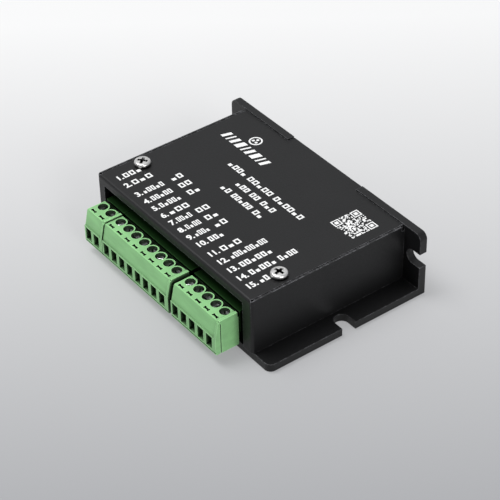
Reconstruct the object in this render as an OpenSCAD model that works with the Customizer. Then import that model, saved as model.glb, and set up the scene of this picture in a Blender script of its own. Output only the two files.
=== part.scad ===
// Brushless motor driver module: an L-shaped steel bracket, a folded cover, a circuit board
// on standoffs, and three pluggable rising-cage terminal blocks with 2, 8 and 5 poles.
// X runs along the row of terminals, +Y towards the rear wall, +Z up. The origin lies on the
// underside, midway between the two ear slots. Millimetres.

/* [Bracket] */
// Length over both mounting ears
base_l = 84; // [82:1:96]
// Depth from the front edge to the rear face
base_w = 53; // [52:0.5:60]
// Thickness of the bent plate
plate_t = 2.4; // [2:0.1:3]
// Height of the rear wall
wall_h = 20.4; // [20.3:0.1:24]
// Radius of the plate's outer corners
corner_r = 2; // [1:0.5:3]
// Width of the open mounting slots
slot_w = 4.4; // [4.2:0.1:5]
// Depth of the slots in from the ends
slot_d = 5.2; // [4.6:0.1:6]
// Height of the slots in the rear wall
slot_z = 11.8; // [8:0.1:13]

/* [Cover] */
// Length of the cover
cover_l = 71; // [70:1:74]
// Height of the cover's top face
cover_h = 20; // [20:0.1:20.2]
// Thickness of the cover's sheet
sheet_t = 1.2; // [1:0.1:1.4]
// Outer radius of the bends at the front
bend_r = 0.9; // [0.6:0.1:1.2]
// Reach of the cover's front past the edge of the base
overhang = 0.5; // [0:0.1:0.6]
// Top of the terminal opening
opening_h = 17.5; // [16.5:0.1:17.6]
// Length of the rear tab
tab_l = 30; // [20:1:36]

/* [Terminals] */
// Distance between poles
pitch = 3.81; // [3.81:0.01:3.82]
// Distance in from the front edge to the row of clamp screws, which stand in front of it
screw_row = 3.3; // [3.3:0.05:3.4]
// Height of the plugs' top deck
deck_z = 13.4; // [13.3:0.1:13.5]
// Underside of the plugs
plug_z = 3; // [2.8:0.1:3]
// Thread pitch of the clamp screws
thread_p = 0.4; // [0.35:0.05:0.4]
// Turns from open to clamped
clamp_turns = 5; // [3:1:5]

/* [Board] */
// Thickness of the circuit board
board_t = 1.6; // [1.4:0.1:1.6]
// Clearance under the board
board_gap = 3; // [3:0.1:3.2]

/* [Hidden] */
$fn = 48;
eps = 0.05;

// Heights of the stack inside
board_z = plate_t + board_gap;
board_top = board_z + board_t;
ceiling_z = cover_h - sheet_t;

// Front and rear planes
front_y = -base_w / 2;
wall_y = base_w / 2 - plate_t;
cover_y = front_y - overhang;

// Slots: the centre of each slot's round end
slot_r = slot_w / 2;
slot_x = base_l / 2 - slot_d + slot_r;

// Rear tab of the cover and its recess in the wall
tab_gap = 0.15;

// Seam between the top sheet and the side walls
seam_w = 0.3;
seam_d = 0.45;
seam_edge = 0.45;

// Terminal opening of the cover
opening_x0 = -32.3;
opening_x1 = 31.6;

// Fastener places
cover_screw_x = 31.2;
cover_screw_y = front_y + 11.8;
rear_post_x = 29.5;
rear_post_y = 18.6;

// Terminal blocks: poles, and the place of the first pole
BLOCKS = [[2, -29.2], [8, -20.36], [5, 12.45]];
left_margin = pitch / 2;
end_wall = 1;
right_margin = pitch / 2 + end_wall;
row_y = front_y - screw_row;

// Plug profile
plug_front = row_y - 5.3;
plug_rear = front_y - 1.1;
deck_rear = row_y + 1.9;
ledge_z = 8.5;
nose_z0 = 8;
nose_z1 = 12.9;
nose_end = front_y + 6.3;
lip_h = 0.45;
slope_step = 0.35;

// Mould grooves on the plugs
groove_z = 3.5;
groove_w = 0.3;
groove_d = 0.2;

// Clamp: cavity, cage and screw
cavity_w = 3;
cavity_y0 = row_y - 2.4;
cavity_y1 = plug_rear - 0.35;
cavity_z0 = plug_z + 0.4;
screw_hole_r = 1.5;
head_r = 1.42;
head_z = 11.3;
head_h = 1;
shank_r = 1;
bar_z = 7.3;
bar_t = 0.5;
tip_gap = 0.05;
cage_w = 2.8;
cage_y0 = row_y - 2.3;
cage_y1 = row_y + 1.3;
cage_z = 3.5;
cage_h = 5.2;
cage_wall = 0.4;
cage_top_t = 0.7;
cage_bar_t = 0.5;
thread_gap = 0.03;
clamp_travel = thread_p * clamp_turns;
cavity_z1 = cage_z + cage_h + clamp_travel + 0.2;

// Contacts and pins
pin_z = 10.5;
pin_w = 0.9;
socket_w = 1.9;
socket_gap = 0.1;
pin_tip = front_y + 0.6;
tail_y = front_y + 8.5;
tail_z = board_z - 1.2;

// Headers
header_front = front_y - 0.75;
header_rear = front_y + 7.7;
header_top = 13.9;
header_wall = 0.8;

// Board outline
board_half_l = 33;
board_front = front_y + sheet_t + 0.15;
board_rear = 22.4;

function pole_x(block, i) = block[1] + i * pitch;
function all_poles() = [for (b = BLOCKS) for (i = [0 : b[0] - 1]) pole_x(b, i)];
POLES = all_poles();

// A box between two corners
module span(a, b) {
    translate(a) cube([b[0] - a[0], b[1] - a[1], b[2] - a[2]]);
}

// A vertical cylinder from one height to another
module post(x, y, z0, z1, r) {
    translate([x, y, z0]) cylinder(r = r, h = z1 - z0);
}

// Both places mirrored about the YZ plane
module both_sides() {
    children();
    mirror([1, 0, 0]) children();
}

// ---------------------------------------------------------------- bracket

// Plan of the base plate: square at the wall, round at the two front corners
module base_plan() {
    translate([-base_l / 2, front_y + corner_r]) square([base_l, base_w - corner_r]);
    translate([-base_l / 2 + corner_r, front_y]) square([base_l - 2 * corner_r, corner_r + eps]);
    for (s = [-1, 1])
        translate([s * (base_l / 2 - corner_r), front_y + corner_r]) circle(r = corner_r);
}

// Elevation of the rear wall, round at its two top corners
module wall_plan() {
    translate([-base_l / 2, 0]) square([base_l, wall_h - corner_r]);
    translate([-base_l / 2 + corner_r, wall_h - corner_r - eps])
        square([base_l - 2 * corner_r, corner_r + eps]);
    for (s = [-1, 1])
        translate([s * (base_l / 2 - corner_r), wall_h - corner_r]) circle(r = corner_r);
}

// Open-ended slot in plan, running out past the +X end
module open_slot() {
    circle(r = slot_r);
    translate([0, -slot_r]) square([slot_d, slot_w]);
}

module base_bracket() {
    color([0.16, 0.16, 0.17])
    difference() {
        union() {
            linear_extrude(plate_t) base_plan();
            translate([0, base_w / 2, 0]) rotate([90, 0, 0]) linear_extrude(plate_t) wall_plan();
        }
        both_sides() {
            translate([slot_x, 0, -1]) linear_extrude(plate_t + 2) open_slot();
            translate([slot_x, base_w / 2 + 1, slot_z])
                rotate([90, 0, 0]) linear_extrude(plate_t + 2) open_slot();
        }
        span([-tab_l / 2 - tab_gap, wall_y - 1, ceiling_z - tab_gap],
             [tab_l / 2 + tab_gap, base_w / 2 + 1, wall_h + 1]);
        standoff_places() {
            post(0, 0, -1, plate_t + 1, 1.6);
            translate([0, 0, -eps]) cylinder(r1 = 2.9, r2 = 1.6, h = 1.3);
        }
    }
}

// ---------------------------------------------------------------- cover

// Side profile of the cover in Y and Z, with the round bend at the top front
module cover_profile(inset) {
    r = max(bend_r - inset, 0.2);
    y0 = cover_y + inset;
    z1 = cover_h - inset;
    translate([y0, plate_t]) square([wall_y - y0, z1 - r - plate_t]);
    translate([y0 + r, z1 - r - eps]) square([wall_y - y0 - r, r + eps]);
    translate([y0 + r, z1 - r]) circle(r = r);
}

// A profile in Y and Z, extruded along X between two places
module along_x(x0, x1) {
    translate([x0, 0, 0]) rotate([90, 0, 90]) linear_extrude(x1 - x0) children();
}

// Plan of the cover, round at its two front corners
module cover_plan() {
    half = cover_l / 2;
    translate([-half, cover_y + bend_r]) square([cover_l, wall_y - cover_y - bend_r]);
    translate([-half + bend_r, cover_y]) square([cover_l - 2 * bend_r, bend_r + eps]);
    for (s = [-1, 1]) translate([s * (half - bend_r), cover_y + bend_r]) circle(r = bend_r);
}

module top_cover() {
    half = cover_l / 2;
    seam_x = half - seam_edge - seam_w;
    color([0.2, 0.2, 0.21])
    difference() {
        union() {
            intersection() {
                along_x(-half, half) cover_profile(0);
                linear_extrude(cover_h + 1) cover_plan();
            }
            span([-tab_l / 2, wall_y - 1, ceiling_z], [tab_l / 2, base_w / 2, cover_h]);
        }
        difference() {
            along_x(-half + sheet_t, half - sheet_t) cover_profile(sheet_t);
            span([-half, wall_y, 0], [half, base_w, ceiling_z]);
        }
        span([-half + sheet_t, cover_y + sheet_t + 0.5, 0],
             [half - sheet_t, wall_y + 0.01, ceiling_z]);
        span([opening_x0, cover_y - 1, 0], [opening_x1, cover_y + sheet_t + 1, opening_h]);
        both_sides() {
            span([seam_x, cover_y + 0.8, cover_h - seam_d],
                 [seam_x + seam_w, wall_y + 1, cover_h + 1]);
            post(cover_screw_x, cover_screw_y, ceiling_z - 1, cover_h + 1, 1.7);
            // relief holes at the corners where three folds meet
            post(half - 0.55, cover_y + 0.75, cover_h - 1.5, cover_h + 1, 0.4);
            post(half - 0.35, wall_y - 0.5, cover_h - 1.4, cover_h + 1, 0.55);
        }
    }
}

// ---------------------------------------------------------------- fasteners

// Pan head with a cross recess; the shank goes down from the origin
module pan_screw(head_d, head_t, shank_d, shank_l) {
    difference() {
        union() {
            cylinder(r = head_d / 2, h = head_t * 0.45);
            translate([0, 0, head_t * 0.45])
                cylinder(r1 = head_d / 2, r2 = head_d * 0.33, h = head_t * 0.55);
            translate([0, 0, -shank_l]) cylinder(r = shank_d / 2, h = shank_l + eps);
        }
        for (a = [0, 90])
            rotate([0, 0, a + 45])
                translate([-head_d * 0.27, -head_d * 0.06, head_t * 0.45])
                    cube([head_d * 0.54, head_d * 0.12, head_t]);
    }
}

module cover_screw(side) {
    color([0.82, 0.82, 0.8])
        translate([side * cover_screw_x, cover_screw_y, cover_h]) pan_screw(4.8, 1.5, 2.9, 6);
}

// Tall tapped post between the board and the cover, with a stud into the standoff below
module cover_post(side) {
    color([0.8, 0.78, 0.7])
        translate([side * cover_screw_x, cover_screw_y, 0])
            difference() {
                union() {
                    post(0, 0, board_top, ceiling_z, 2.3);
                    post(0, 0, board_z - 1.6, board_top + eps, 1.4);
                }
                post(0, 0, ceiling_z - 7, ceiling_z + 1, 1.48);
            }
}

module standoff_places() {
    both_sides() {
        translate([cover_screw_x, cover_screw_y, 0]) children();
        translate([rear_post_x, rear_post_y, 0]) children();
    }
}

module board_standoffs() {
    color([0.8, 0.78, 0.7])
        standoff_places()
            difference() {
                post(0, 0, plate_t, board_z, 2.5);
                post(0, 0, plate_t - 1, board_z + 1, 1.45);
            }
}

// Countersunk screws up through the base into the standoffs
module standoff_screws() {
    color([0.3, 0.3, 0.3])
        standoff_places()
            difference() {
                union() {
                    cylinder(r1 = 2.8, r2 = 1.4, h = 1.25);
                    post(0, 0, 1.2, plate_t + 1.2, 1.4);
                }
                for (a = [0, 90])
                    rotate([0, 0, a]) span([-1.2, -0.25, -1], [1.2, 0.25, 0.6]);
            }
}

module board_screws() {
    color([0.82, 0.82, 0.8])
        both_sides()
            translate([rear_post_x, rear_post_y, board_top]) pan_screw(5.4, 1.8, 2.8, 3);
}

// ---------------------------------------------------------------- board

module circuit_board() {
    color([0.05, 0.3, 0.15])
    difference() {
        span([-board_half_l, board_front, board_z], [board_half_l, board_rear, board_top]);
        standoff_places() post(0, 0, board_z - 1, board_top + 1, 1.6);
        for (x = POLES) post(x, tail_y, board_z - 1, board_top + 1, 0.7);
    }
}

// Radial can on a square base, one beside the other
module bulk_capacitors() {
    can_r = 5;
    for (x = [-17, -5])
        translate([x, 6, board_top]) {
            color([0.1, 0.1, 0.1]) span([-5.15, -5.15, 0], [5.15, 5.15, 1.2]);
            color([0.75, 0.76, 0.78])
                rotate_extrude() polygon([
                    [0, 1.1], [can_r, 1.1], [can_r, 2.4], [can_r - 0.35, 2.8], [can_r - 0.35, 3.1],
                    [can_r, 3.5], [can_r, 10], [can_r - 0.3, 10.4], [0, 10.4]
                ]);
        }
}

// Six power transistors under the board, pressed through the pad onto the base
module power_transistors() {
    for (i = [0 : 5])
        translate([-23.75 + i * 9.5, 10, board_z]) mirror([0, 0, 1]) {
            color([0.1, 0.1, 0.1]) span([-3.3, -3, 0], [3.3, 3.1, 2.2]);
            color([0.75, 0.75, 0.75]) {
                span([-2.7, 3.1, 0], [2.7, 4.3, 0.6]);
                for (x = [-2.3, 1.5]) span([x, -5.6, 0], [x + 0.8, -3, 0.6]);
            }
        }
}

module thermal_pad() {
    color([0.55, 0.6, 0.65])
        span([-28, 6.4, plate_t], [28, 14, board_z - 2.2]);
}

// Flat package with leads along the chosen sides
module chip(l, w, h, leads, lead_pitch, four_sides) {
    color([0.08, 0.08, 0.08]) span([-l / 2, -w / 2, 0.1], [l / 2, w / 2, h]);
    color([0.75, 0.75, 0.75])
        for (turn = four_sides ? [0, 90, 180, 270] : [0, 180])
            rotate([0, 0, turn])
                for (i = [0 : leads - 1])
                    translate([(i - (leads - 1) / 2) * lead_pitch, w / 2 - eps, 0])
                        span([-lead_pitch * 0.22, 0, 0], [lead_pitch * 0.22, 1, 0.35]);
}

module microcontroller() {
    translate([22, 6, board_top]) chip(7, 7, 1.5, 8, 0.8, true);
}

module gate_driver() {
    translate([10, 6, board_top]) chip(10, 6, 1.75, 8, 1.27, false);
}

module power_inductor() {
    translate([-17, -8, board_top]) {
        color([0.2, 0.2, 0.2])
            difference() {
                span([-3.6, -3.6, 0], [3.6, 3.6, 4]);
                for (a = [45 : 90 : 315])
                    rotate([0, 0, a]) span([4.4, -3, -1], [7, 3, 5]);
            }
        color([0.75, 0.75, 0.75])
            for (s = [-1, 1]) translate([s * 3.7, 0, 0]) span([-0.1, -1.2, 0], [0.1, 1.2, 1.6]);
    }
}

module current_shunts() {
    for (x = [-4, 4, 12])
        translate([x, -8, board_top]) {
            color([0.12, 0.12, 0.12]) span([-2.4, -1.6, 0.05], [2.4, 1.6, 0.75]);
            color([0.75, 0.75, 0.75])
                for (s = [-1, 1]) translate([s * 2.75, 0, 0]) span([-0.4, -1.6, 0], [0.4, 1.6, 0.7]);
        }
}

// ---------------------------------------------------------------- headers and pins

module header(block) {
    x0 = block[1] - left_margin;
    x1 = pole_x(block, block[0] - 1) + right_margin;
    color([0.25, 0.55, 0.3])
    difference() {
        span([x0, header_front, board_top], [x1, header_rear, header_top]);
        span([x0 + header_wall, header_front - 1, nose_z0 - 0.15],
             [x1 - header_wall, header_rear - 1, nose_z1 + 0.15]);
        for (i = [0 : block[0] - 1])
            translate([pole_x(block, i), 0, pin_z])
                span([-pin_w / 2, header_front, -pin_w / 2], [pin_w / 2, header_rear + 1, pin_w / 2]);
    }
}

// Bent square pins: into the plug at the front, down through the board at the rear
module header_pins(block) {
    color([0.85, 0.8, 0.6])
        for (i = [0 : block[0] - 1])
            translate([pole_x(block, i), 0, 0]) {
                span([-pin_w / 2, pin_tip, pin_z - pin_w / 2],
                     [pin_w / 2, tail_y + pin_w / 2, pin_z + pin_w / 2]);
                span([-pin_w / 2, tail_y - pin_w / 2, tail_z],
                     [pin_w / 2, tail_y + pin_w / 2, pin_z]);
            }
}

// ---------------------------------------------------------------- plugs

// Side profile of the plug in Y and Z: lower face, ledge, slope, deck and rear step
module plug_profile(recess) {
    polygon([
        [plug_front + 0.3, plug_z], [plug_front, plug_z + 0.3], [plug_front, ledge_z],
        [plug_front + recess, ledge_z + 0.05], [plug_front + 1 + recess, deck_z - 0.25],
        [plug_front + 1.25 + recess, deck_z], [deck_rear, deck_z], [deck_rear, nose_z1 - 0.5],
        [plug_rear, nose_z1 - 0.5], [plug_rear, plug_z + 0.2], [plug_rear - 0.2, plug_z]
    ]);
}

// Dumbbell-shaped test slot in the deck, in front of a screw
module test_slot() {
    span([-0.75, -0.3, -1.5], [0.75, 0.3, 1]);
    for (s = [-1, 1]) translate([s * 0.8, 0, 0]) span([-0.25, -0.45, -1.5], [0.25, 0.45, 1]);
}

// What is cut out of the plug for one pole
module pole_cut() {
    // cavity for the cage, and the wire's way in from the front
    span([-cavity_w / 2, cavity_y0, cavity_z0], [cavity_w / 2, cavity_y1, cavity_z1]);
    span([-1.3, plug_front - 1, 4.2], [1.3, cavity_y0 + eps, 8.1]);
    // screwdriver hole and the ledge under the screw's head
    post(0, row_y, head_z, deck_z + 2, screw_hole_r);
    post(0, row_y, cavity_z1 - 1, head_z + 1, shank_r + 0.06);
    // channel and mouth for the contact's socket
    span([-socket_w / 2 - socket_gap, cavity_y1 - 0.5, pin_z - socket_w / 2 - socket_gap],
         [socket_w / 2 + socket_gap, nose_end - 0.6, pin_z + socket_w / 2 + socket_gap]);
    span([-0.65, nose_end - 1, pin_z - 0.65], [0.65, nose_end + 1, pin_z + 0.65]);
    translate([0, plug_front + 2.35, deck_z]) test_slot();
}

// The wedge left open between two neighbouring screw collars at the deck's rear edge
module collar_gap() {
    difference() {
        span([-pitch / 2, row_y + 0.3, cavity_z1 + 0.3], [pitch / 2, header_front, deck_z + 1]);
        for (s = [-1, 1]) post(s * pitch / 2, row_y, 0, deck_z + 2, 1.88);
    }
}

module plug_body(block) {
    n = block[0];
    x0 = block[1] - left_margin;
    x1 = pole_x(block, n - 1) + pitch / 2;
    x2 = x1 + end_wall;
    color([0.6, 0.87, 0.55])
    difference() {
        union() {
            along_x(x0, x1 + 0.3) plug_profile(slope_step);
            along_x(x1 + 0.2, x2) plug_profile(0);
            // raised lip on the end wall
            span([x1 + 0.2, plug_front + 1.5, deck_z - 1], [x2, deck_rear, deck_z + lip_h]);
            // nose that enters the header
            span([x0 + header_wall + 0.15, plug_rear - eps, nose_z0],
                 [x2 - header_wall - 0.15, nose_end, nose_z1]);
        }
        for (i = [0 : n - 1]) translate([pole_x(block, i), 0, 0]) pole_cut();
        for (i = [1 : n - 1]) translate([pole_x(block, i) - pitch / 2, 0, 0]) collar_gap();
        // fine grooves under the wire entries and down the end wall
        span([x0 - 1, plug_front - 1, groove_z], [x2 + 1, plug_front + groove_d, groove_z + groove_w]);
        span([x2 - groove_d, plug_front + 1.6, plug_z - 1],
             [x2 + 1, plug_front + 1.6 + groove_w, deck_z - 0.6]);
    }
}

// Current bar under each screw, rising to the socket that takes the header's pin
module contacts(block) {
    bar_half = 0.8;
    s = socket_w / 2;
    color([0.85, 0.8, 0.6])
        for (i = [0 : block[0] - 1])
            translate([pole_x(block, i), 0, 0]) {
                span([-bar_half, cage_y0, bar_z], [bar_half, cavity_y1 - eps, bar_z + bar_t]);
                span([-bar_half, cavity_y1 - 0.4, bar_z],
                     [bar_half, cavity_y1 - eps, pin_z - s + 0.4]);
                difference() {
                    span([-s, cavity_y1 - 0.4, pin_z - s], [s, nose_end - 0.7, pin_z + s]);
                    span([-pin_w / 2 - socket_gap, cavity_y1 + 0.6, pin_z - pin_w / 2 - socket_gap],
                         [pin_w / 2 + socket_gap, nose_end, pin_z + pin_w / 2 + socket_gap]);
                }
            }
}

// Slotted captive screw; each slot is left at its own angle
module clamp_screw(pole) {
    slot_angle = 40 + pole * 67;
    color([0.8, 0.8, 0.8])
        translate([POLES[pole - 1], row_y, 0])
            difference() {
                union() {
                    post(0, 0, head_z + 0.02, head_z + head_h, head_r);
                    post(0, 0, bar_z + bar_t + tip_gap, head_z + 0.1, shank_r);
                }
                translate([0, 0, head_z + 0.45])
                    rotate([0, 0, slot_angle]) span([-2, -0.22, 0], [2, 0.22, 1]);
            }
}

// Square clamp ring around the current bar, tapped for the screw
module clamp_cage(pole) {
    color([0.75, 0.75, 0.72])
        translate([POLES[pole - 1], 0, 0])
            difference() {
                span([-cage_w / 2, cage_y0, cage_z], [cage_w / 2, cage_y1, cage_z + cage_h]);
                span([-cage_w / 2 + cage_wall, cage_y0 - 1, cage_z + cage_bar_t],
                     [cage_w / 2 - cage_wall, cage_y1 + 1, cage_z + cage_h - cage_top_t]);
                post(0, row_y, cage_z + cage_bar_t + 1, cage_z + cage_h + 1, shank_r + thread_gap);
            }
}

base_bracket();
top_cover();
cover_screw(-1);  // cover_screw_left
cover_screw(1);  // cover_screw_right
cover_post(-1);  // cover_post_left
cover_post(1);  // cover_post_right
board_standoffs();
standoff_screws();
board_screws();
circuit_board();
header(BLOCKS[0]);  // header_2p
header(BLOCKS[1]);  // header_8p
header(BLOCKS[2]);  // header_5p
header_pins(BLOCKS[0]);  // header_pins_2p
header_pins(BLOCKS[1]);  // header_pins_8p
header_pins(BLOCKS[2]);  // header_pins_5p
plug_body(BLOCKS[0]);  // plug_body_2p
plug_body(BLOCKS[1]);  // plug_body_8p
plug_body(BLOCKS[2]);  // plug_body_5p
contacts(BLOCKS[0]);  // contacts_2p
contacts(BLOCKS[1]);  // contacts_8p
contacts(BLOCKS[2]);  // contacts_5p
clamp_screw(1);  // clamp_screw_01
clamp_screw(2);  // clamp_screw_02
clamp_screw(3);  // clamp_screw_03
clamp_screw(4);  // clamp_screw_04
clamp_screw(5);  // clamp_screw_05
clamp_screw(6);  // clamp_screw_06
clamp_screw(7);  // clamp_screw_07
clamp_screw(8);  // clamp_screw_08
clamp_screw(9);  // clamp_screw_09
clamp_screw(10);  // clamp_screw_10
clamp_screw(11);  // clamp_screw_11
clamp_screw(12);  // clamp_screw_12
clamp_screw(13);  // clamp_screw_13
clamp_screw(14);  // clamp_screw_14
clamp_screw(15);  // clamp_screw_15
clamp_cage(1);  // clamp_cage_01
clamp_cage(2);  // clamp_cage_02
clamp_cage(3);  // clamp_cage_03
clamp_cage(4);  // clamp_cage_04
clamp_cage(5);  // clamp_cage_05
clamp_cage(6);  // clamp_cage_06
clamp_cage(7);  // clamp_cage_07
clamp_cage(8);  // clamp_cage_08
clamp_cage(9);  // clamp_cage_09
clamp_cage(10);  // clamp_cage_10
clamp_cage(11);  // clamp_cage_11
clamp_cage(12);  // clamp_cage_12
clamp_cage(13);  // clamp_cage_13
clamp_cage(14);  // clamp_cage_14
clamp_cage(15);  // clamp_cage_15
bulk_capacitors();
power_transistors();
thermal_pad();
microcontroller();
gate_driver();
power_inductor();
current_shunts();
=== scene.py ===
import math

import bmesh
import bpy
from mathutils import Matrix, Vector


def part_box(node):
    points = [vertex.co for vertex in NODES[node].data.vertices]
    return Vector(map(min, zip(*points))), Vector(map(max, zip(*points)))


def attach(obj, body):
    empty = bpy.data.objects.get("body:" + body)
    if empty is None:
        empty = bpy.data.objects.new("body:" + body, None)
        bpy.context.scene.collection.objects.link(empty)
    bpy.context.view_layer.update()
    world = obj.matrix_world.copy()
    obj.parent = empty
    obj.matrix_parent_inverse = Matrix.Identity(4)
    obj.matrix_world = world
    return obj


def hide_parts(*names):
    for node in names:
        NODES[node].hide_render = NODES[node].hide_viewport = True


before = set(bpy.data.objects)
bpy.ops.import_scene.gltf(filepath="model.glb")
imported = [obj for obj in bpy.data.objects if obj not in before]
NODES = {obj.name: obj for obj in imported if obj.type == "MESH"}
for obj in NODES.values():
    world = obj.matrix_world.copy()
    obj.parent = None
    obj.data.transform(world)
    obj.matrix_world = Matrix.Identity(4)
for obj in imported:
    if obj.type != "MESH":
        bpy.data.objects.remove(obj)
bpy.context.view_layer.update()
MM = 0.001

# How far round an edge its wear and painted highlight reach, in millimetres
EDGE_REACH = 0.3
# Cosine of the angle between rounded and true normal: on flats, and on a full edge
EDGE_FLAT, EDGE_FULL = 0.995, 0.88


# ------------------------------------------------------------------ node material helpers

class Shader:
    """A node material around one Principled shader, with short ways to add the nodes that feed it."""

    def __init__(self, name, colour, roughness, metallic=0.0):
        self.material = bpy.data.materials.new(name)
        self.material.use_nodes = True
        self.tree = self.material.node_tree
        self.principled = self.tree.nodes["Principled BSDF"]
        self.set("Base Color", (*colour, 1.0))
        self.set("Roughness", roughness)
        self.set("Metallic", metallic)
        coords = self.tree.nodes.new("ShaderNodeTexCoord")
        self.coords = coords.outputs["Object"]

    def set(self, socket, value):
        self.principled.inputs[socket].default_value = value

    def link(self, output, socket):
        self.tree.links.new(output, self.principled.inputs[socket])

    def stretched(self, scale):
        """The object's coordinates, multiplied along X, Y and Z."""
        node = self.tree.nodes.new("ShaderNodeMapping")
        node.inputs["Scale"].default_value = scale
        self.tree.links.new(self.coords, node.inputs["Vector"])
        return node.outputs["Vector"]

    def noise(self, feature_mm, detail=2.0, rough=0.5, vector=None):
        """Noise whose features are about that many millimetres across."""
        node = self.tree.nodes.new("ShaderNodeTexNoise")
        node.inputs["Scale"].default_value = 1.0 / (feature_mm * MM)
        node.inputs["Detail"].default_value = detail
        node.inputs["Roughness"].default_value = rough
        self.tree.links.new(vector or self.coords, node.inputs["Vector"])
        return node.outputs["Fac"]

    def remap(self, value, low, high, from_low=0.0, from_high=1.0):
        """A value moved from one range to another and kept inside it."""
        node = self.tree.nodes.new("ShaderNodeMapRange")
        self.tree.links.new(value, node.inputs["Value"])
        for socket, number in (("From Min", from_low), ("From Max", from_high),
                               ("To Min", low), ("To Max", high)):
            node.inputs[socket].default_value = number
        return node.outputs["Result"]

    def blend(self, factor, first, second):
        """A colour between two, by a factor from 0 to 1."""
        node = self.tree.nodes.new("ShaderNodeMix")
        node.data_type = "RGBA"
        for socket, colour in (("A", first), ("B", second)):
            target = [s for s in node.inputs if s.name == socket and s.type == "RGBA"][0]
            if isinstance(colour, tuple):
                target.default_value = (*colour, 1.0)
            else:
                self.tree.links.new(colour, target)
        self.tree.links.new(factor, node.inputs["Factor"])
        return [s for s in node.outputs if s.type == "RGBA"][0]

    def bump(self, height, strength, distance_mm):
        """Shading relief from a height between 0 and 1."""
        node = self.tree.nodes.new("ShaderNodeBump")
        node.inputs["Strength"].default_value = strength
        node.inputs["Distance"].default_value = distance_mm * MM
        self.tree.links.new(height, node.inputs["Height"])
        self.link(node.outputs["Normal"], "Normal")

    def hollows(self, reach_mm, low, high):
        """A mask for painted shade: 0 where the surface is as shut in as low, in holes and corners,
        and 1 where it is open.
        """
        node = self.tree.nodes.new("ShaderNodeAmbientOcclusion")
        node.samples = 8
        node.inputs["Distance"].default_value = reach_mm * MM
        return self.remap(node.outputs["AO"], 0.0, 1.0, low, high)

    def edges(self):
        """About 1 along edges and 0 on flats: where a rounded normal leaves the true one."""
        rounded = self.tree.nodes.new("ShaderNodeBevel")
        rounded.samples = 6
        rounded.inputs["Radius"].default_value = EDGE_REACH * MM
        surface = self.tree.nodes.new("ShaderNodeNewGeometry")
        dot = self.tree.nodes.new("ShaderNodeVectorMath")
        dot.operation = "DOT_PRODUCT"
        self.tree.links.new(rounded.outputs["Normal"], dot.inputs[0])
        self.tree.links.new(surface.outputs["Normal"], dot.inputs[1])
        return self.remap(dot.outputs["Value"], 0.0, 1.0, EDGE_FLAT, EDGE_FULL)


def tinted(colour, gain):
    """A colour made darker or lighter by a factor."""
    return tuple(min(1.0, c * gain) for c in colour)


def powder_coat(name, colour, roughness, grain_mm):
    """Fine-textured powder coat: orange-peel grain, faint clouding, pale broken edges that are partly
    wear and partly painted highlight, and painted shade in hollows.
    """
    s = Shader(name, colour, roughness)
    cloud = s.noise(14.0, 3.0)
    speck = s.noise(0.35, 2.0)
    base = s.blend(s.remap(cloud, 0.0, 1.0, 0.3, 0.7), tinted(colour, 0.86), tinted(colour, 1.14))
    base = s.blend(s.remap(speck, 0.0, 0.5, 0.45, 0.75), base, tinted(colour, 1.7))
    # Pale broken edges: partly wear, partly a painted highlight standing in for light caught on edges
    # and bends
    patches = s.remap(s.noise(0.9, 3.0), 0.0, 1.0, 0.42, 0.6)
    wear_and_highlight = s.blend(patches, tinted(colour, 9.0), tinted(colour, 46.0))
    base = s.blend(s.remap(s.edges(), 0.0, 0.8), base, wear_and_highlight)
    # Painted shade: the coat is made darker in hollows, corners and under parts, where shade falls
    base = s.blend(s.hollows(9.0, 0.3, 0.75), tinted(colour, 0.3), base)
    s.link(base, "Base Color")
    s.set("Specular IOR Level", 0.36)
    s.link(s.remap(s.noise(0.8, 2.0), roughness - 0.08, roughness + 0.1), "Roughness")
    s.bump(s.noise(grain_mm, 4.0, 0.7), 0.6, 0.05)
    return s.material


def moulded(name, colour, roughness, translucency=0.0, gloss=0.5, edge_highlight_gain=1.9):
    """Injection-moulded plastic: soft gloss, faint flow marks, painted shade in holes and painted
    highlights on edges.
    """
    s = Shader(name, colour, roughness)
    flow = s.noise(3.0, 3.0, vector=s.stretched((0.4, 1.0, 1.6)))
    base = s.blend(s.remap(flow, 0.0, 1.0, 0.3, 0.7), tinted(colour, 0.92), tinted(colour, 1.08))
    # Painted highlight: edges are made paler, standing in for light caught on them
    base = s.blend(s.remap(s.edges(), 0.0, 0.75), base, tinted(colour, edge_highlight_gain))
    # Painted shade: the plastic is made almost black in holes and corners, where shade falls
    base = s.blend(s.hollows(3.6, 0.5, 0.92), tinted(colour, 0.04), base)
    s.link(base, "Base Color")
    s.link(s.remap(s.noise(1.2, 2.0), roughness - 0.06, roughness + 0.08), "Roughness")
    s.set("IOR", 1.5)
    s.set("Specular IOR Level", gloss)
    if translucency:
        s.set("Subsurface Weight", translucency)
        s.set("Subsurface Radius", (0.8, 1.0, 0.7))
        s.set("Subsurface Scale", 0.3 * MM)
    s.bump(s.noise(0.25, 2.0), 0.12, 0.02)
    return s.material


def plated(name, colour, roughness, scratch=0.15, shade=(0.42, 0.85)):
    """Plated metal: fine scratches, small smudges, painted shade in slots and hollows; shade gives the
    range of hollows.
    """
    s = Shader(name, colour, roughness, metallic=1.0)
    smudge = s.noise(1.6, 3.0)
    base = s.blend(s.remap(smudge, 0.0, 1.0, 0.35, 0.7), tinted(colour, 0.8), colour)
    # Painted shade: the metal is made almost black in slots and hollows, where shade falls
    base = s.blend(s.hollows(1.6, *shade), tinted(colour, 0.03), base)
    s.link(base, "Base Color")
    s.link(s.remap(s.noise(0.5, 3.0), roughness - 0.08, roughness + 0.14), "Roughness")
    s.bump(s.noise(0.12, 2.0, 0.6, s.stretched((1.0, 4.0, 1.0))), scratch, 0.01)
    return s.material


def printed_ink(name, colour):
    """Screen-printed ink: dull, a little uneven, with the coat's grain showing through."""
    s = Shader(name, colour, 0.55)
    thin = s.remap(s.noise(0.3, 3.0, 0.7), 0.0, 1.0, 0.42, 0.5)
    s.link(s.blend(thin, tinted(colour, 0.82), colour), "Base Color")
    s.bump(s.noise(0.22, 3.0, 0.6), 0.25, 0.02)
    return s.material


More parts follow.
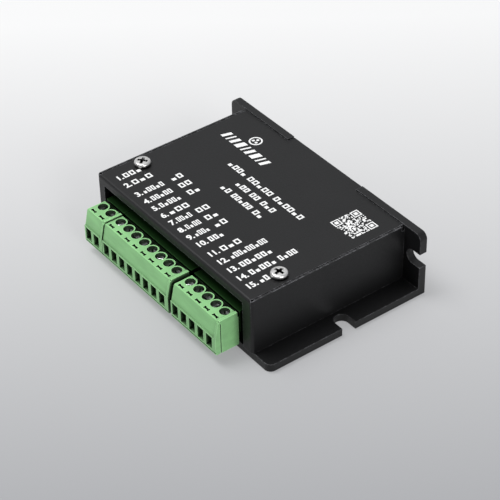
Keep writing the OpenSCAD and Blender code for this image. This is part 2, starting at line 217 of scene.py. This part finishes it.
def solder_mask(name, colour):
    """Green board: darker mask over tracks that follow a brick pattern, on a fine glass weave."""
    s = Shader(name, colour, 0.3)
    tracks = s.tree.nodes.new("ShaderNodeTexBrick")
    tracks.inputs["Scale"].default_value = 260.0
    tracks.inputs["Color1"].default_value = (*tinted(colour, 1.5), 1.0)
    tracks.inputs["Color2"].default_value = (*colour, 1.0)
    tracks.inputs["Mortar"].default_value = (*tinted(colour, 0.7), 1.0)
    s.tree.links.new(s.coords, tracks.inputs["Vector"])
    s.link(tracks.outputs["Color"], "Base Color")
    s.bump(s.noise(0.4, 2.0, vector=s.stretched((1.0, 3.0, 1.0))), 0.1, 0.02)
    return s.material


def soft_pad(name, colour):
    """Filled silicone pad: matt, mottled and slightly pitted."""
    s = Shader(name, colour, 0.8)
    s.link(s.blend(s.noise(0.6, 4.0), tinted(colour, 0.75), tinted(colour, 1.2)), "Base Color")
    s.bump(s.noise(0.3, 4.0), 0.4, 0.05)
    return s.material


def studio_floor(name, near, far, half_depth):
    """Pale paper, half lit from within, that darkens evenly from the far side to the near side."""
    s = Shader(name, near, 0.9)
    split = s.tree.nodes.new("ShaderNodeSeparateXYZ")
    s.tree.links.new(s.coords, split.inputs["Vector"])
    depth = s.remap(split.outputs["Y"], 0.0, 1.0, -half_depth, half_depth)
    s.link(s.blend(depth, tinted(near, 0.5), tinted(far, 0.5)), "Base Color")
    s.link(s.blend(depth, tinted(near, 0.5), tinted(far, 0.5)), "Emission Color")
    s.set("Emission Strength", 1.0)
    s.set("Specular IOR Level", 0.05)
    s.bump(s.noise(1.0, 3.0), 0.05, 0.02)
    return s.material


BRACKET = powder_coat("bracket_coat", (0.006, 0.006, 0.0064), 0.40, 0.5)
COVER = powder_coat("cover_coat", (0.006, 0.006, 0.0064), 0.44, 0.5)
GREEN = moulded("terminal_green", (0.275, 0.58, 0.247), 0.42, 0.04, 0.4)
# Painted shade: the header's green is the plugs' green made far darker, for where it sits in shade
# under the cover; its large edge gain paints a highlight on its edges
SHADED_HEADER = moulded("header_green", (0.007, 0.024, 0.006), 0.45, gloss=0.04, edge_highlight_gain=7.0)
NICKEL = plated("nickel", (0.95, 0.94, 0.92), 0.28, scratch=0.05, shade=(0.5, 0.92))
ZINC = plated("zinc", (0.92, 0.93, 0.94), 0.12, scratch=0.03, shade=(0.1, 0.4))
TIN = plated("tin", (0.78, 0.76, 0.70), 0.35)
BRASS = plated("brass", (0.72, 0.58, 0.30), 0.32)
BLACK_OXIDE = plated("black_oxide", (0.10, 0.10, 0.11), 0.45)
CAN = plated("capacitor_can", (0.72, 0.73, 0.75), 0.34)
EPOXY = moulded("package_epoxy", (0.022, 0.022, 0.024), 0.55)
FERRITE = moulded("ferrite", (0.06, 0.06, 0.065), 0.6)
BOARD = solder_mask("solder_mask", (0.012, 0.10, 0.035))
PAD = soft_pad("thermal_pad", (0.38, 0.43, 0.50))
INK = printed_ink("white_ink", (0.95, 0.95, 0.94))


# ------------------------------------------------------------------ CAD nodes: finish and edges

def finish_node(name, material, edge_mm=0.0, segments=2):
    """Gives a CAD node its material, and rounds its sharp edges by a modifier."""
    obj = NODES[name]
    for slot in obj.material_slots:
        slot.material = material
    if edge_mm:
        weld = obj.modifiers.new("weld", "WELD")
        weld.merge_threshold = 1e-6
        flat = obj.modifiers.new("merge_flats", "DECIMATE")
        flat.decimate_type = "DISSOLVE"
        flat.angle_limit = math.radians(0.5)
        bevel = obj.modifiers.new("edge", "BEVEL")
        bevel.width = edge_mm * MM
        bevel.segments = segments
        bevel.limit_method = "ANGLE"
        bevel.angle_limit = math.radians(40)
        normals = obj.modifiers.new("normals", "WEIGHTED_NORMAL")
        normals.keep_sharp = False


finish_node("base_bracket", BRACKET, 0.22, 3)
finish_node("top_cover", COVER, 0.12, 2)
finish_node("circuit_board", BOARD, 0.05)
finish_node("board_standoffs", BRASS, 0.08)
finish_node("cover_post_left", BRASS, 0.08)
finish_node("cover_post_right", BRASS, 0.08)
finish_node("standoff_screws", BLACK_OXIDE)
finish_node("board_screws", NICKEL)
finish_node("thermal_pad", PAD, 0.1)
finish_node("bulk_capacitors", CAN, 0.1)
finish_node("power_inductor", FERRITE, 0.15)
for part in ("power_transistors", "microcontroller", "gate_driver", "current_shunts"):
    finish_node(part, EPOXY, 0.05)
for poles in ("2p", "8p", "5p"):
    finish_node("header_" + poles, SHADED_HEADER, 0.1)
    finish_node("header_pins_" + poles, TIN, 0.05)
    finish_node("contacts_" + poles, TIN, 0.03)
    finish_node("plug_body_" + poles, GREEN, 0.1, 2)
for number in range(1, 16):
    finish_node(f"clamp_screw_{number:02d}", ZINC, 0.22, 3)
    finish_node(f"clamp_cage_{number:02d}", ZINC, 0.05)


# ------------------------------------------------------------------ mesh helpers

# Size of the recess at its bottom, as a share of that at its top
RECESS_TAPER = 0.72


def mesh_object(name, mesh, material, body):
    """A new piece from a mesh in metres: material, body and material slot."""
    obj = bpy.data.objects.new(name, mesh)
    bpy.context.scene.collection.objects.link(obj)
    mesh.materials.clear()
    mesh.materials.append(material)
    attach(obj, body)
    return obj


def evaluated(obj):
    """A new mesh with the object's modifiers applied."""
    bpy.context.view_layer.update()
    graph = bpy.context.evaluated_depsgraph_get()
    return bpy.data.meshes.new_from_object(obj.evaluated_get(graph))


def lathe(profile, steps):
    """A closed solid of revolution about Z from (radius, height) points, in metres."""
    bm = bmesh.new()
    rings = []
    for radius, height in profile:
        if radius < 1e-9:
            rings.append([bm.verts.new((0, 0, height))])
        else:
            rings.append([bm.verts.new((radius * math.cos(2 * math.pi * k / steps),
                                        radius * math.sin(2 * math.pi * k / steps), height))
                          for k in range(steps)])
    for lower, upper in zip(rings, rings[1:]):
        for k in range(steps):
            n = (k + 1) % steps
            if len(lower) == 1:
                bm.faces.new((lower[0], upper[k], upper[n]))
            elif len(upper) == 1:
                bm.faces.new((lower[k], lower[n], upper[0]))
            else:
                bm.faces.new((lower[k], lower[n], upper[n], upper[k]))
    bmesh.ops.recalc_face_normals(bm, faces=bm.faces)
    return bm


def arc(centre_r, centre_z, radius, start, end, steps):
    """Points of an arc in (radius, height), by angle in degrees."""
    return [(centre_r + radius * math.cos(math.radians(start + (end - start) * k / steps)),
             centre_z + radius * math.sin(math.radians(start + (end - start) * k / steps)))
            for k in range(steps + 1)]


def cross_cutter(reach, width, depth, top):
    """The tapered cross that a screwdriver's tip leaves, as a closed mesh."""
    bm = bmesh.new()
    for turn in (0, 90):
        rot = Matrix.Rotation(math.radians(turn), 4, "Z")
        corners = []
        for z, shrink in ((top, 1.0), (top - depth, RECESS_TAPER)):
            for x, y in ((-1, -1), (1, -1), (1, 1), (-1, 1)):
                corners.append(bm.verts.new(rot @ Vector((x * reach * shrink, y * width * shrink, z))))
        lower, upper = corners[4:], corners[:4]
        bm.faces.new(upper)
        bm.faces.new(list(reversed(lower)))
        for k in range(4):
            n = (k + 1) % 4
            bm.faces.new((upper[n], upper[k], lower[k], lower[n]))
    bmesh.ops.recalc_face_normals(bm, faces=bm.faces)
    return bm


def to_mesh(bm, name):
    """Turns mesh code's result into a mesh and frees it."""
    mesh = bpy.data.meshes.new(name)
    bm.to_mesh(mesh)
    bm.free()
    return mesh


# ------------------------------------------------------------------ cover screws

# Sizes in millimetres: shank, its chamfered tip, rounded shoulder and crown of the head, fine edges
SHANK_R, TIP_CHAMFER, SHOULDER_R, CROWN_H, FINE_EDGE = 1.45, 0.4, 0.62, 0.12, 0.05
# The recess, as shares of the head: arm length and half width of its radius, depth of its height
RECESS_REACH, RECESS_WIDTH, RECESS_DEPTH = 0.64, 0.18, 0.85
LATHE_STEPS = 48


def cover_screw(node, turn):
    """Pan-head screw with a cross recess, turned by an angle, in place of the plain CAD screw."""
    low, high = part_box(node)
    centre = (low + high) / 2
    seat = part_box("top_cover")[1][2]
    head_r = (high[0] - low[0]) / 2
    head_h = high[2] - seat
    shank_r = SHANK_R * MM
    tip = low[2] - seat
    shoulder = min(SHOULDER_R * MM, head_h * 0.6)
    crown = CROWN_H * MM
    top_r = head_r - shoulder
    crown_r = (top_r ** 2 + crown ** 2) / (2 * crown)
    lean = math.degrees(math.asin(top_r / crown_r))
    side = arc(top_r, head_h - crown - shoulder, shoulder, 0, 90 - lean, 8)
    dome = arc(0.0, head_h - crown_r, crown_r, 90 - lean, 90, 5)
    profile = [(0.0, tip), (shank_r * 0.7, tip), (shank_r, tip + TIP_CHAMFER * MM), (shank_r, 0.0),
               (head_r, 0.0)] + side + dome[1:]
    profile[-1] = (0.0, head_h)
    body = bpy.data.objects.new("blank", to_mesh(lathe(profile, LATHE_STEPS), "blank"))
    cross = cross_cutter(head_r * RECESS_REACH, head_r * RECESS_WIDTH, head_h * RECESS_DEPTH,
                         head_h + FINE_EDGE * MM)
    cutter = bpy.data.objects.new("cutter", to_mesh(cross, "cutter"))
    for helper in (body, cutter):
        bpy.context.scene.collection.objects.link(helper)
    cut = body.modifiers.new("recess", "BOOLEAN")
    cut.object = cutter
    cut.operation = "DIFFERENCE"
    cut.solver = "EXACT"
    cut.use_self = True
    edge = body.modifiers.new("edge", "BEVEL")
    edge.width = FINE_EDGE * MM
    edge.limit_method = "ANGLE"
    edge.angle_limit = math.radians(35)
    mesh = evaluated(body)
    for helper in (body, cutter):
        bpy.data.objects.remove(helper)
    mesh.transform(Matrix.Translation((centre[0], centre[1], seat)) @ Matrix.Rotation(turn, 4, "Z"))
    for face in mesh.polygons:
        face.use_smooth = True
    piece = mesh_object(node + "_head", mesh, NICKEL, "chassis")
    piece.modifiers.new("normals", "WEIGHTED_NORMAL")
    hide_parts(node)


cover_screw("cover_screw_left", math.radians(38))
cover_screw("cover_screw_right", math.radians(12))


# ------------------------------------------------------------------ print on the cover
# Places and sizes on the cover are in millimetres.

INK_T = 0.02 * MM
TOP_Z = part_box("top_cover")[1][2]


def plate(bm, x0, y0, x1, y1):
    """One straight bar of ink between two corners in millimetres."""
    prism(bm, [(x0, y0), (x1, y0), (x1, y1), (x0, y1)])


def prism(bm, outline):
    """A thin plate of ink from an outline in millimetres, on top of the cover."""
    lower = [bm.verts.new((x * MM, y * MM, 0.0)) for x, y in outline]
    upper = [bm.verts.new((x * MM, y * MM, INK_T)) for x, y in outline]
    bm.faces.new(upper)
    bm.faces.new(list(reversed(lower)))
    for k in range(len(outline)):
        n = (k + 1) % len(outline)
        bm.faces.new((lower[k], lower[n], upper[n], upper[k]))


def numeral_mesh(text, size_mm):
    """Extruded figures, upright along +Y, starting at the origin."""
    curve = bpy.data.curves.new("figures", "FONT")
    curve.body = text
    curve.size = size_mm * MM
    curve.extrude = INK_T / 2
    curve.offset = 0.1 * MM
    curve.resolution_u = 3
    obj = bpy.data.objects.new("figures", curve)
    bpy.context.scene.collection.objects.link(obj)
    mesh = evaluated(obj)
    bpy.data.objects.remove(obj)
    mesh.transform(Matrix.Translation((0, 0, INK_T / 2)))
    return mesh


def hollow(bm, x, width, height, stroke):
    """An open rectangle of four bars, its lower left corner at x on the baseline."""
    plate(bm, x, 0.0, x + stroke, height)
    plate(bm, x + width - stroke, 0.0, x + width, height)
    plate(bm, x + stroke, 0.0, x + width - stroke, stroke)
    plate(bm, x + stroke, height - stroke, x + width - stroke, height)


def word(bm, count, start, end, cap, seed):
    """Plain rectangles between two places along +X, in place of a word: every third low and solid."""
    advance = (end - start) / (count - 1 + SIGN_WIDTH)
    stroke = min(STROKE, advance * 0.27)
    for k in range(count):
        x = start + k * advance
        if (seed + k) % 3 == 2:
            plate(bm, x + advance * 0.06, 0.0, x + advance * 0.66, cap * 0.55)
        else:
            hollow(bm, x, advance * SIGN_WIDTH, cap, stroke)


def place(mesh, x_mm, y_mm, turn_deg):
    """Turns a flat mesh about Z and moves it onto the cover's top."""
    mesh.transform(Matrix.Translation((x_mm * MM, y_mm * MM, TOP_Z))
                   @ Matrix.Rotation(math.radians(turn_deg), 4, "Z"))
    return mesh


# Words after each number: how many signs, and where they start and end along Y
LEGEND = (
    ((3, -22.0, -16.4),), ((3, -21.8, -15.5),),
    ((5, -21.9, -15.3), (2, -12.6, -8.9)), ((5, -21.9, -15.3), (2, -12.6, -8.9)),
    ((5, -21.9, -15.3), (2, -12.6, -8.9)), ((3, -21.8, -15.5),),
    ((4, -21.9, -17.4), (2, -15.5, -11.6)), ((4, -21.9, -17.4), (2, -15.5, -11.6)),
    ((4, -21.9, -17.4), (2, -15.5, -11.6)), ((3, -20.2, -15.8),),
    ((3, -20.1, -13.9),), ((9, -20.1, -8.5),), ((6, -20.1, -10.1),),
    ((5, -20.1, -11.9), (4, -10.6, -5.0)), ((2, -20.1, -17.2),))
LINE_X = (-28.8, -24.7, -19.4, -15.3, -11.3, -7.2, -3.2, 0.9, 4.9, 9.0, 14.2, 18.4, 22.7, 26.8, 30.9)
LINE_Y = -24.4
NUMERAL_SIZE = 2.85
# Height of the signs beside the numbers and of those in the middle, and the thickness of a stroke
LABEL_CAP, CENTRE_CAP, STROKE = 2.05, 1.9, 0.46
# Width of a sign, as a share of the step from one sign to the next
SIGN_WIDTH = 0.78


def terminal_legend():
    """The numbers 1 to 15, each followed by plain signs in place of words."""
    for index, words in enumerate(LEGEND):
        figures = numeral_mesh(f"{index + 1}.", NUMERAL_SIZE)
        place(figures, LINE_X[index], LINE_Y, 90)
        mesh_object(f"number_{index + 1:02d}", figures, INK, "chassis")
        bm = bmesh.new()
        for order, (count, start, end) in enumerate(words):
            word(bm, count, start - LINE_Y, end - LINE_Y, LABEL_CAP, index + order * 3)
        signs = place(to_mesh(bm, "signs"), LINE_X[index], LINE_Y, 90)
        mesh_object(f"label_{index + 1:02d}", signs, INK, "chassis")


# Lines in the middle of the top: name, height along Y, and its words along X
CENTRE_LINES = (
    ("line_a", 3.8, ((4, -16.5, -9.0), (5, -7.6, 2.6), (6, 4.1, 16.0))),
    ("line_b", -0.2, ((3, -7.6, -2.6), (2, -1.3, 2.0), (3, 3.5, 8.9))),
    ("line_c", -4.3, ((2, -9.0, -5.6), (5, -4.2, 3.9), (2, 5.4, 9.0))))


def centre_lines():
    """Three lines of plain signs in the middle of the top."""
    for name, y, words in CENTRE_LINES:
        bm = bmesh.new()
        for order, (count, start, end) in enumerate(words):
            word(bm, count, start, end, CENTRE_CAP, order + 2)
        mesh_object(name, place(to_mesh(bm, name), 0.0, y, 0), INK, "chassis")


def ring_outline(radius, steps, centre=(0.0, 0.0)):
    """Points round a circle."""
    return [(centre[0] + radius * math.cos(2 * math.pi * k / steps),
             centre[1] + radius * math.sin(2 * math.pi * k / steps)) for k in range(steps)]


RING_AT, RING_OUTER, RING_INNER, RING_STEPS = (-20.5, 16.8), 2.0, 1.55, 40
DISC_R, DISC_OUT, DISC_STEPS = 0.45, 0.75, 16
BARS_AT, BAR_H, BAR_LEAN, BAR_GAP = (-29.3, 10.8), 3.1, 0.9, 1.1
BAR_WIDTHS = (1.2, 0.6, 1.2, 1.8, 0.6, 1.2, 1.8, 0.6, 1.2)


def emblem():
    """A plain motor symbol, a ring round three discs, above a row of slanted bars."""
    bm = bmesh.new()
    outer, inner = ring_outline(RING_OUTER, RING_STEPS), ring_outline(RING_INNER, RING_STEPS)
    for k in range(RING_STEPS):
        n = (k + 1) % RING_STEPS
        prism(bm, [outer[k], outer[n], inner[n], inner[k]])
    for k in range(3):
        angle = math.radians(90 + 120 * k)
        centre = (DISC_OUT * math.cos(angle), DISC_OUT * math.sin(angle))
        prism(bm, ring_outline(DISC_R, DISC_STEPS, centre))
    ring = place(to_mesh(bm, "emblem"), *RING_AT, 0)
    mesh_object("emblem", ring, INK, "chassis")
    bm = bmesh.new()
    x = 0.0
    for width in BAR_WIDTHS:
        prism(bm, [(x, 0.0), (x + width, 0.0), (x + width + BAR_LEAN, BAR_H), (x + BAR_LEAN, BAR_H)])
        x += width + BAR_GAP
    bars = place(to_mesh(bm, "emblem_bars"), *BARS_AT, 0)
    mesh_object("emblem_bars", bars, INK, "chassis")


CODE_AT, CODE_SIZE, CODE_CELLS, CORNER_CELLS = (22.0, 9.5), 9.2, 25, 7
# A plain linear congruential rule, whose upper bits choose the scattered cells
RULE_START, RULE_FACTOR, RULE_STEP, RULE_RANGE = 12345, 1103515245, 12345, 2 ** 31


def code_cell(row, col, chance):
    """Whether a cell is inked: framed squares in three corners, scattered cells elsewhere."""
    far = CODE_CELLS - CORNER_CELLS
    for corner_row, corner_col in ((0, 0), (far, 0), (far, far)):
        across, along = row - corner_row, col - corner_col
        if -1 <= across <= CORNER_CELLS and -1 <= along <= CORNER_CELLS:
            ring = max(abs(across - 3), abs(along - 3))
            return ring in (0, 1, 3)
    return chance < 50


def code_square():
    """A square of scattered cells, filled by a fixed rule and holding no message."""
    step = CODE_SIZE / CODE_CELLS
    bm = bmesh.new()
    value = RULE_START
    for row in range(CODE_CELLS):
        for col in range(CODE_CELLS):
            value = (value * RULE_FACTOR + RULE_STEP) % RULE_RANGE
            if code_cell(row, col, (value >> 16) % 100):
                x, y = col * step, row * step
                plate(bm, x, y, x + step * 0.98, y + step * 0.98)
    square = place(to_mesh(bm, "code_square"), *CODE_AT, 0)
    mesh_object("code_square", square, INK, "chassis")


terminal_legend()
centre_lines()
emblem()
code_square()


# ------------------------------------------------------------------ camera, light and floor

VIEW_AZIMUTH, VIEW_ELEVATION, VIEW_ROLL = 53.93, 38.38, -1.41
VIEW_DISTANCE = 0.5064
VIEW_TARGET = Vector((0.0040, -0.0040, 0.0061))
VIEW_LENS, SENSOR_WIDTH = 132.9, 36.0
FLOOR_NEAR, FLOOR_FAR = (0.350, 0.355, 0.371), (0.88, 0.88, 0.88)
# Half of the depth, in metres, over which the floor goes from near to far colour
FLOOR_FADE = 0.125
FLOOR_HALF_SIZE, FLOOR_DROP = 4.0, 0.0002
SKY_COLOUR, SKY_STRENGTH = (0.95, 0.97, 1.0, 1.0), 0.42


def aim_camera():
    """Sets up the camera and returns its direction of view; azimuth 0 looks along +Y."""
    az, el, roll = (math.radians(v) for v in (VIEW_AZIMUTH, VIEW_ELEVATION, VIEW_ROLL))
    forward = Vector((-math.sin(az) * math.cos(el), math.cos(az) * math.cos(el), -math.sin(el)))
    level = forward.cross(Vector((0, 0, 1))).normalized()
    right = level * math.cos(roll) + level.cross(forward) * math.sin(roll)
    up = right.cross(forward)
    data = bpy.data.cameras.new("camera")
    data.lens = VIEW_LENS
    data.sensor_width = SENSOR_WIDTH
    data.clip_start = 0.01
    camera = bpy.data.objects.new("camera", data)
    bpy.context.scene.collection.objects.link(camera)
    axes = Matrix((right, up, -forward)).transposed()
    camera.matrix_world = Matrix.Translation(VIEW_TARGET - forward * VIEW_DISTANCE) @ axes.to_4x4()
    bpy.context.scene.camera = camera
    return forward


def soft_light(name, place_at, aim, size, watts):
    """A rectangular lamp at a place, facing another; metres and watts."""
    data = bpy.data.lights.new(name, "AREA")
    data.shape = "RECTANGLE"
    data.size, data.size_y = size
    data.energy = watts
    light = bpy.data.objects.new(name, data)
    light.location = place_at
    light.rotation_euler = (Vector(aim) - Vector(place_at)).to_track_quat("-Z", "Y").to_euler()
    bpy.context.scene.collection.objects.link(light)


def make_floor(forward):
    """A wide pale floor turned so that its own Y runs away from the camera."""
    bm = bmesh.new()
    bmesh.ops.create_grid(bm, x_segments=1, y_segments=1, size=FLOOR_HALF_SIZE)
    floor = bpy.data.objects.new("floor", to_mesh(bm, "floor"))
    floor.rotation_euler = (0, 0, math.atan2(-forward.x, forward.y))
    floor.location = (0, 0, -FLOOR_DROP)
    floor.data.materials.append(studio_floor("studio_floor", FLOOR_NEAR, FLOOR_FAR, FLOOR_FADE))
    bpy.context.scene.collection.objects.link(floor)


def make_world():
    """An even, slightly cool sky."""
    world = bpy.data.worlds.new("studio")
    world.use_nodes = True
    background = world.node_tree.nodes["Background"]
    background.inputs["Color"].default_value = SKY_COLOUR
    background.inputs["Strength"].default_value = SKY_STRENGTH
    bpy.context.scene.world = world


view_forward = aim_camera()
make_floor(view_forward)
make_world()
bpy.context.scene.view_settings.view_transform = "Standard"
soft_light("key", (-0.45, -0.38, 1.50), (0, 0, 0), (0.8, 0.8), 17.0)
soft_light("back", (-1.35, 0.80, 1.35), (0, 0, 0.01), (2.6, 2.6), 4.5)
soft_light("fill", (1.5, -0.15, 0.8), (0, 0, 0.01), (0.6, 0.5), 9.5)
